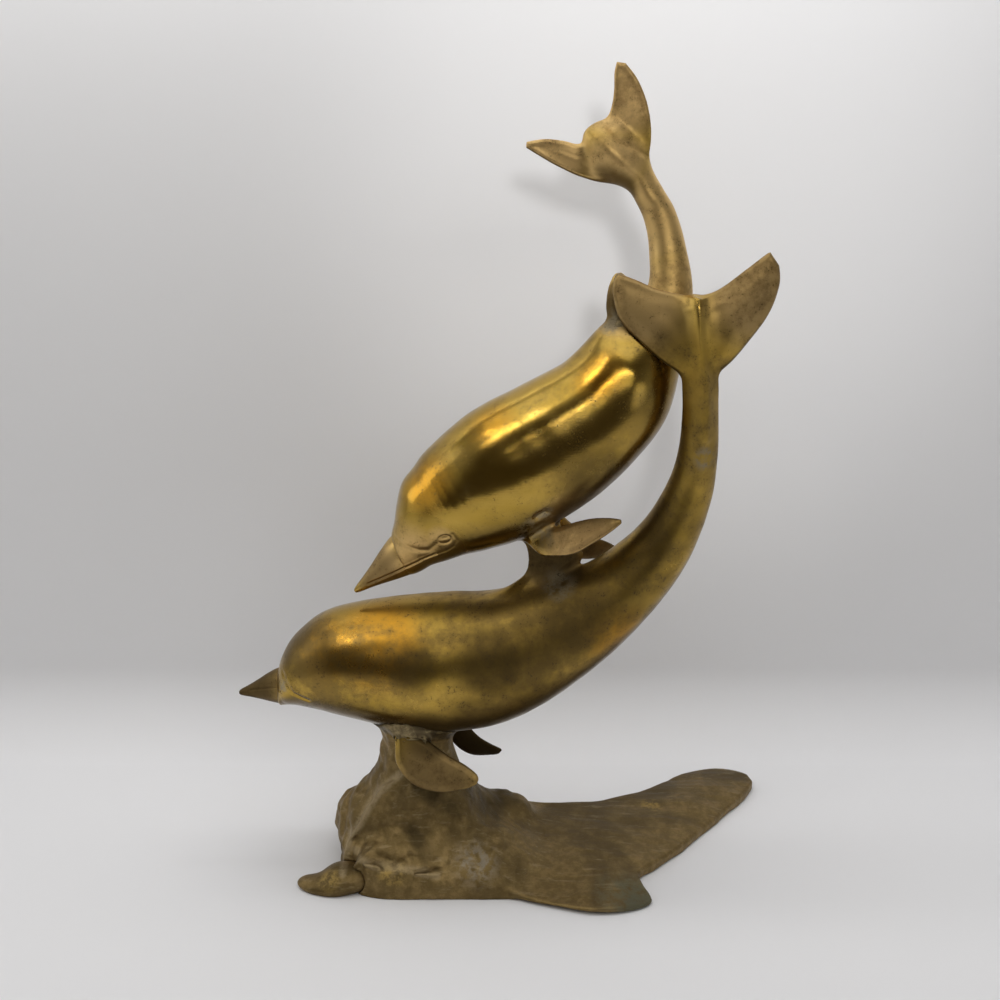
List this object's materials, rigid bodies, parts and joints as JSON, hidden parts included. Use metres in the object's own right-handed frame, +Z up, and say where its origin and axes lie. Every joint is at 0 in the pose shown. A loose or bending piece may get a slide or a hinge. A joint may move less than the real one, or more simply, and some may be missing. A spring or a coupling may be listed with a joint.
{
  "type": "dolphin sculpture",
  "caption": "Hollow cast brass sculpture of leaping dolphins arcing over one another above a rocky mound and a thin wave-shaped base; stands free as an ornament.",
  "frame": {"origin": "on the table, under the middle of the bounding box of the whole sculpture", "axes": "+Z up, +X to the viewer's right in the front view (the upper dolphin's head points to -X), +Y away from the viewer"},
  "size_m": [0.315, 0.166, 0.4515],
  "materials": {
    "polished_brass": "hand polished, worn, with fine scratches and brown tarnish",
    "dull_brass": "satin with brown patina, edges rubbed bright",
    "rock_brass": "as cast, pitted, brown patina with traces of verdigris",
    "braze_metal": "rough as-laid filler metal"
  },
  "bodies": {
    "root": {"lower_body_left_half": "polished_brass", "lower_body_right_half": "polished_brass", "lower_beak": "polished_brass", "lower_tail_stock": "polished_brass", "lower_fluke": "dull_brass", "lower_dorsal_fin": "dull_brass", "lower_left_flipper": "dull_brass", "lower_right_flipper": "dull_brass", "upper_body_left_half": "polished_brass", "upper_body_right_half": "polished_brass", "upper_beak": "polished_brass", "upper_tail_stock": "polished_brass", "upper_fluke": "dull_brass", "upper_dorsal_fin": "dull_brass", "upper_left_flipper": "dull_brass", "upper_right_flipper": "dull_brass", "rock_mound": "rock_brass", "toe_stone": "rock_brass", "wave_plate": "rock_brass", "belly_braze": "braze_metal", "chest_braze": "braze_metal", "lobe_braze": "braze_metal", "beak_braze": "braze_metal", "wave_braze": "braze_metal"}
  },
  "joints": []
}
